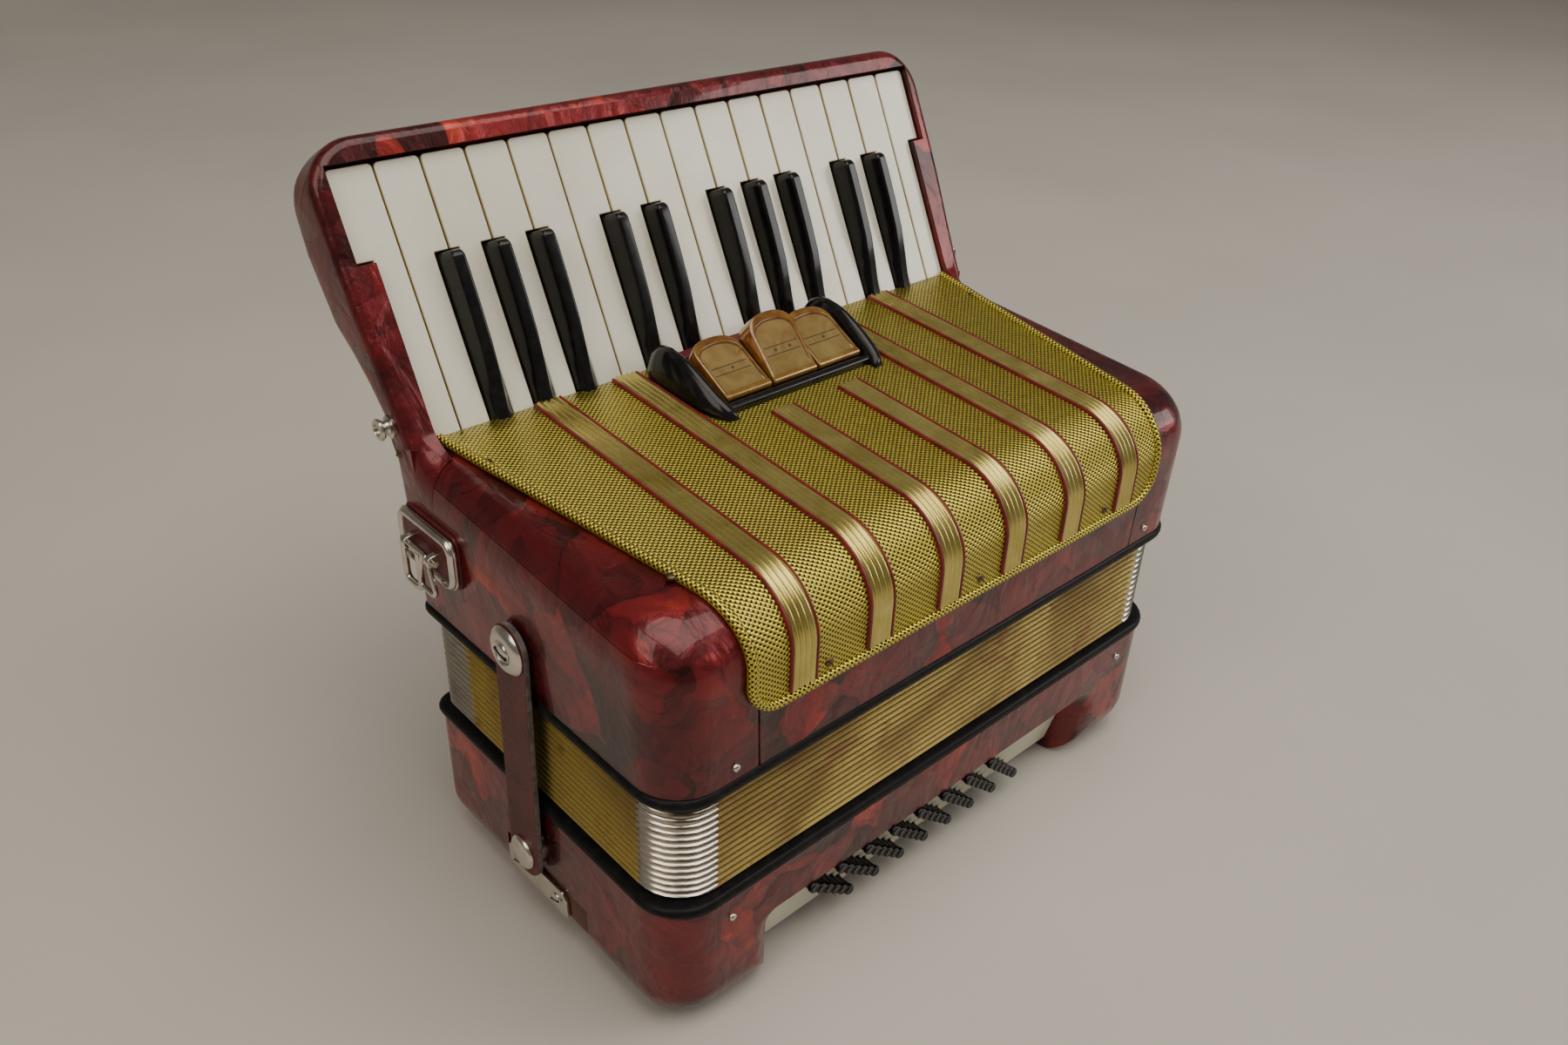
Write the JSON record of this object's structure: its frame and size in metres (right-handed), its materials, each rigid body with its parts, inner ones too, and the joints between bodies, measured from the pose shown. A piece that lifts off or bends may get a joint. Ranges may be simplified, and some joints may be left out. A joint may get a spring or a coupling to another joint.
{
  "type": "piano accordion",
  "caption": "Piano accordion standing on its bass end, bellows closed: sloping keyboard, cloth grille, register switches, bass buttons, hand strap and closure straps.",
  "frame": {"origin": "on the floor under the middle of the instrument's box", "axes": "+X along the keyboard from the high notes to the low notes, +Y away from the grille, +Z the way the bellows open"},
  "size_m": [0.3182, 0.2154, 0.2924],
  "materials": {
    "pearl_celluloid": "gloss",
    "key_ivory": "gloss",
    "key_black": "gloss",
    "amber_plastic": "gloss",
    "cream_board": "satin",
    "black_trim": "satin",
    "grille_cloth": "metallic weave",
    "bellows_cloth": "satin",
    "leather": "worn",
    "nickel": "polished",
    "steel_rod": "brushed",
    "spruce": "raw"
  },
  "bodies": {
    "bass_body": {"bass_casing": "pearl_celluloid", "bass_cover": "pearl_celluloid", "bass_reed_block": "spruce", "button_board": "cream_board", "bass_gasket": "black_trim", "bass_strap": "leather", "bass_strap_plate_left": "nickel", "bass_strap_plate_right": "nickel", "bellows": "bellows_cloth"},
    "treble_body": {"treble_casing": "pearl_celluloid", "keyboard_frame": "pearl_celluloid", "treble_cover": "pearl_celluloid", "grille": "grille_cloth", "keyboard_axle": "steel_rod", "treble_soundboard": "spruce", "treble_reed_block": "spruce", "treble_gasket": "black_trim", "register_housing": "black_trim", "strap_bracket_left": "nickel", "strap_bracket_right": "nickel"},
    "white_key_01": {"white_key_01": "key_ivory"},
    "white_key_02": {"white_key_02": "key_ivory"},
    "white_key_03": {"white_key_03": "key_ivory"},
    "white_key_04": {"white_key_04": "key_ivory"},
    "white_key_05": {"white_key_05": "key_ivory"},
    "white_key_06": {"white_key_06": "key_ivory"},
    "white_key_07": {"white_key_07": "key_ivory"},
    "white_key_08": {"white_key_08": "key_ivory"},
    "white_key_09": {"white_key_09": "key_ivory"},
    "white_key_10": {"white_key_10": "key_ivory"},
    "white_key_11": {"white_key_11": "key_ivory"},
    "white_key_12": {"white_key_12": "key_ivory"},
    "white_key_13": {"white_key_13": "key_ivory"},
    "white_key_14": {"white_key_14": "key_ivory"},
    "white_key_15": {"white_key_15": "key_ivory"},
    "white_key_16": {"white_key_16": "key_ivory"},
    "black_key_01": {"black_key_01": "key_black"},
    "black_key_02": {"black_key_02": "key_black"},
    "black_key_03": {"black_key_03": "key_black"},
    "black_key_04": {"black_key_04": "key_black"},
    "black_key_05": {"black_key_05": "key_black"},
    "black_key_06": {"black_key_06": "key_black"},
    "black_key_07": {"black_key_07": "key_black"},
    "black_key_08": {"black_key_08": "key_black"},
    "black_key_09": {"black_key_09": "key_black"},
    "black_key_10": {"black_key_10": "key_black"},
    "bass_button_row_1": {"bass_button_row_1": "key_black"},
    "bass_button_row_2": {"bass_button_row_2": "key_black"},
    "bass_button_row_3": {"bass_button_row_3": "key_black"},
    "bass_button_row_4": {"bass_button_row_4": "key_black"},
    "bass_button_row_5": {"bass_button_row_5": "key_black"},
    "bass_button_row_6": {"bass_button_row_6": "key_black"},
    "register_switch_left": {"register_switch_left": "amber_plastic"},
    "register_switch_middle": {"register_switch_middle": "amber_plastic"},
    "register_switch_right": {"register_switch_right": "amber_plastic"},
    "closure_strap_left": {"closure_strap_left": "leather"},
    "strap_loop_left": {"strap_loop_left": "nickel"},
    "closure_strap_right": {"closure_strap_right": "leather"},
    "strap_loop_right": {"strap_loop_right": "nickel"},
    "air_button": {"air_button": "cream_board"}
  },
  "joints": [
    {"name": "bellows_slide", "type": "slide", "parent": "bass_body", "child": "treble_body", "axis": [0, 0, 1], "range_m": [0, 0.22], "deforming": ["bellows"]},
    {"name": "white_key_01_hinge", "type": "hinge", "parent": "treble_body", "child": "white_key_01", "pos_m": [0, 0.03669, 0.17558], "axis": [-1, 0, 0], "range_deg": [0, 2.2], "stiffness_Nm_per_rad": 1.2, "springref_deg": -3.44},
    {"name": "white_key_02_hinge", "type": "hinge", "parent": "treble_body", "child": "white_key_02", "pos_m": [0, 0.03669, 0.17558], "axis": [-1, 0, 0], "range_deg": [0, 2.2], "stiffness_Nm_per_rad": 1.2, "springref_deg": -3.44},
    {"name": "white_key_03_hinge", "type": "hinge", "parent": "treble_body", "child": "white_key_03", "pos_m": [0, 0.03669, 0.17558], "axis": [-1, 0, 0], "range_deg": [0, 2.2], "stiffness_Nm_per_rad": 1.2, "springref_deg": -3.44},
    {"name": "white_key_04_hinge", "type": "hinge", "parent": "treble_body", "child": "white_key_04", "pos_m": [0, 0.03669, 0.17558], "axis": [-1, 0, 0], "range_deg": [0, 2.2], "stiffness_Nm_per_rad": 1.2, "springref_deg": -3.44},
    {"name": "white_key_05_hinge", "type": "hinge", "parent": "treble_body", "child": "white_key_05", "pos_m": [0, 0.03669, 0.17558], "axis": [-1, 0, 0], "range_deg": [0, 2.2], "stiffness_Nm_per_rad": 1.2, "springref_deg": -3.44},
    {"name": "white_key_06_hinge", "type": "hinge", "parent": "treble_body", "child": "white_key_06", "pos_m": [0, 0.03669, 0.17558], "axis": [-1, 0, 0], "range_deg": [0, 2.2], "stiffness_Nm_per_rad": 1.2, "springref_deg": -3.44},
    {"name": "white_key_07_hinge", "type": "hinge", "parent": "treble_body", "child": "white_key_07", "pos_m": [0, 0.03669, 0.17558], "axis": [-1, 0, 0], "range_deg": [0, 2.2], "stiffness_Nm_per_rad": 1.2, "springref_deg": -3.44},
    {"name": "white_key_08_hinge", "type": "hinge", "parent": "treble_body", "child": "white_key_08", "pos_m": [0, 0.03669, 0.17558], "axis": [-1, 0, 0], "range_deg": [0, 2.2], "stiffness_Nm_per_rad": 1.2, "springref_deg": -3.44},
    {"name": "white_key_09_hinge", "type": "hinge", "parent": "treble_body", "child": "white_key_09", "pos_m": [0, 0.03669, 0.17558], "axis": [-1, 0, 0], "range_deg": [0, 2.2], "stiffness_Nm_per_rad": 1.2, "springref_deg": -3.44},
    {"name": "white_key_10_hinge", "type": "hinge", "parent": "treble_body", "child": "white_key_10", "pos_m": [0, 0.03669, 0.17558], "axis": [-1, 0, 0], "range_deg": [0, 2.2], "stiffness_Nm_per_rad": 1.2, "springref_deg": -3.44},
    {"name": "white_key_11_hinge", "type": "hinge", "parent": "treble_body", "child": "white_key_11", "pos_m": [0, 0.03669, 0.17558], "axis": [-1, 0, 0], "range_deg": [0, 2.2], "stiffness_Nm_per_rad": 1.2, "springref_deg": -3.44},
    {"name": "white_key_12_hinge", "type": "hinge", "parent": "treble_body", "child": "white_key_12", "pos_m": [0, 0.03669, 0.17558], "axis": [-1, 0, 0], "range_deg": [0, 2.2], "stiffness_Nm_per_rad": 1.2, "springref_deg": -3.44},
    {"name": "white_key_13_hinge", "type": "hinge", "parent": "treble_body", "child": "white_key_13", "pos_m": [0, 0.03669, 0.17558], "axis": [-1, 0, 0], "range_deg": [0, 2.2], "stiffness_Nm_per_rad": 1.2, "springref_deg": -3.44},
    {"name": "white_key_14_hinge", "type": "hinge", "parent": "treble_body", "child": "white_key_14", "pos_m": [0, 0.03669, 0.17558], "axis": [-1, 0, 0], "range_deg": [0, 2.2], "stiffness_Nm_per_rad": 1.2, "springref_deg": -3.44},
    {"name": "white_key_15_hinge", "type": "hinge", "parent": "treble_body", "child": "white_key_15", "pos_m": [0, 0.03669, 0.17558], "axis": [-1, 0, 0], "range_deg": [0, 2.2], "stiffness_Nm_per_rad": 1.2, "springref_deg": -3.44},
    {"name": "white_key_16_hinge", "type": "hinge", "parent": "treble_body", "child": "white_key_16", "pos_m": [0, 0.03669, 0.17558], "axis": [-1, 0, 0], "range_deg": [0, 2.2], "stiffness_Nm_per_rad": 1.2, "springref_deg": -3.44},
    {"name": "black_key_01_hinge", "type": "hinge", "parent": "treble_body", "child": "black_key_01", "pos_m": [0, 0.03669, 0.17558], "axis": [-1, 0, 0], "range_deg": [0, 2.2], "stiffness_Nm_per_rad": 1.2, "springref_deg": -3.44},
    {"name": "black_key_02_hinge", "type": "hinge", "parent": "treble_body", "child": "black_key_02", "pos_m": [0, 0.03669, 0.17558], "axis": [-1, 0, 0], "range_deg": [0, 2.2], "stiffness_Nm_per_rad": 1.2, "springref_deg": -3.44},
    {"name": "black_key_03_hinge", "type": "hinge", "parent": "treble_body", "child": "black_key_03", "pos_m": [0, 0.03669, 0.17558], "axis": [-1, 0, 0], "range_deg": [0, 2.2], "stiffness_Nm_per_rad": 1.2, "springref_deg": -3.44},
    {"name": "black_key_04_hinge", "type": "hinge", "parent": "treble_body", "child": "black_key_04", "pos_m": [0, 0.03669, 0.17558], "axis": [-1, 0, 0], "range_deg": [0, 2.2], "stiffness_Nm_per_rad": 1.2, "springref_deg": -3.44},
    {"name": "black_key_05_hinge", "type": "hinge", "parent": "treble_body", "child": "black_key_05", "pos_m": [0, 0.03669, 0.17558], "axis": [-1, 0, 0], "range_deg": [0, 2.2], "stiffness_Nm_per_rad": 1.2, "springref_deg": -3.44},
    {"name": "black_key_06_hinge", "type": "hinge", "parent": "treble_body", "child": "black_key_06", "pos_m": [0, 0.03669, 0.17558], "axis": [-1, 0, 0], "range_deg": [0, 2.2], "stiffness_Nm_per_rad": 1.2, "springref_deg": -3.44},
    {"name": "black_key_07_hinge", "type": "hinge", "parent": "treble_body", "child": "black_key_07", "pos_m": [0, 0.03669, 0.17558], "axis": [-1, 0, 0], "range_deg": [0, 2.2], "stiffness_Nm_per_rad": 1.2, "springref_deg": -3.44},
    {"name": "black_key_08_hinge", "type": "hinge", "parent": "treble_body", "child": "black_key_08", "pos_m": [0, 0.03669, 0.17558], "axis": [-1, 0, 0], "range_deg": [0, 2.2], "stiffness_Nm_per_rad": 1.2, "springref_deg": -3.44},
    {"name": "black_key_09_hinge", "type": "hinge", "parent": "treble_body", "child": "black_key_09", "pos_m": [0, 0.03669, 0.17558], "axis": [-1, 0, 0], "range_deg": [0, 2.2], "stiffness_Nm_per_rad": 1.2, "springref_deg": -3.44},
    {"name": "black_key_10_hinge", "type": "hinge", "parent": "treble_body", "child": "black_key_10", "pos_m": [0, 0.03669, 0.17558], "axis": [-1, 0, 0], "range_deg": [0, 2.2], "stiffness_Nm_per_rad": 1.2, "springref_deg": -3.44},
    {"name": "bass_button_row_1_slide", "type": "slide", "parent": "bass_body", "child": "bass_button_row_1", "axis": [0, 1, 0], "range_m": [0, 0.003], "stiffness_N_per_m": 300, "springref_m": -0.004},
    {"name": "bass_button_row_2_slide", "type": "slide", "parent": "bass_body", "child": "bass_button_row_2", "axis": [0, 1, 0], "range_m": [0, 0.003], "stiffness_N_per_m": 300, "springref_m": -0.004},
    {"name": "bass_button_row_3_slide", "type": "slide", "parent": "bass_body", "child": "bass_button_row_3", "axis": [0, 1, 0], "range_m": [0, 0.003], "stiffness_N_per_m": 300, "springref_m": -0.004},
    {"name": "bass_button_row_4_slide", "type": "slide", "parent": "bass_body", "child": "bass_button_row_4", "axis": [0, 1, 0], "range_m": [0, 0.003], "stiffness_N_per_m": 300, "springref_m": -0.004},
    {"name": "bass_button_row_5_slide", "type": "slide", "parent": "bass_body", "child": "bass_button_row_5", "axis": [0, 1, 0], "range_m": [0, 0.003], "stiffness_N_per_m": 300, "springref_m": -0.004},
    {"name": "bass_button_row_6_slide", "type": "slide", "parent": "bass_body", "child": "bass_button_row_6", "axis": [0, 1, 0], "range_m": [0, 0.003], "stiffness_N_per_m": 300, "springref_m": -0.004},
    {"name": "register_switch_left_hinge", "type": "hinge", "parent": "treble_body", "child": "register_switch_left", "pos_m": [0, -0.00009, 0.19685], "axis": [1, 0, 0], "range_deg": [0, 18]},
    {"name": "register_switch_middle_hinge", "type": "hinge", "parent": "treble_body", "child": "register_switch_middle", "pos_m": [0, -0.00009, 0.19685], "axis": [1, 0, 0], "range_deg": [-18, 0]},
    {"name": "register_switch_right_hinge", "type": "hinge", "parent": "treble_body", "child": "register_switch_right", "pos_m": [0, -0.00009, 0.19685], "axis": [1, 0, 0], "range_deg": [0, 18]},
    {"name": "closure_strap_left_hinge", "type": "hinge", "parent": "treble_body", "child": "closure_strap_left", "pos_m": [-0.152, -0.01959, 0.1412], "axis": [1, 0, 0], "range_deg": [-80, 30]},
    {"name": "strap_loop_left_hinge", "type": "hinge", "parent": "treble_body", "child": "strap_loop_left", "pos_m": [-0.1565, 0.03411, 0.157], "axis": [0, 1, 0], "range_deg": [0, 100]},
    {"name": "closure_strap_right_hinge", "type": "hinge", "parent": "treble_body", "child": "closure_strap_right", "pos_m": [0.152, -0.01959, 0.1412], "axis": [1, 0, 0], "range_deg": [-80, 30]},
    {"name": "strap_loop_right_hinge", "type": "hinge", "parent": "treble_body", "child": "strap_loop_right", "pos_m": [0.1565, 0.03411, 0.157], "axis": [0, -1, 0], "range_deg": [0, 100]},
    {"name": "air_button_slide", "type": "slide", "parent": "bass_body", "child": "air_button", "axis": [0, -1, 0], "range_m": [0, 0.0035], "stiffness_N_per_m": 300, "springref_m": -0.004}
  ]
}
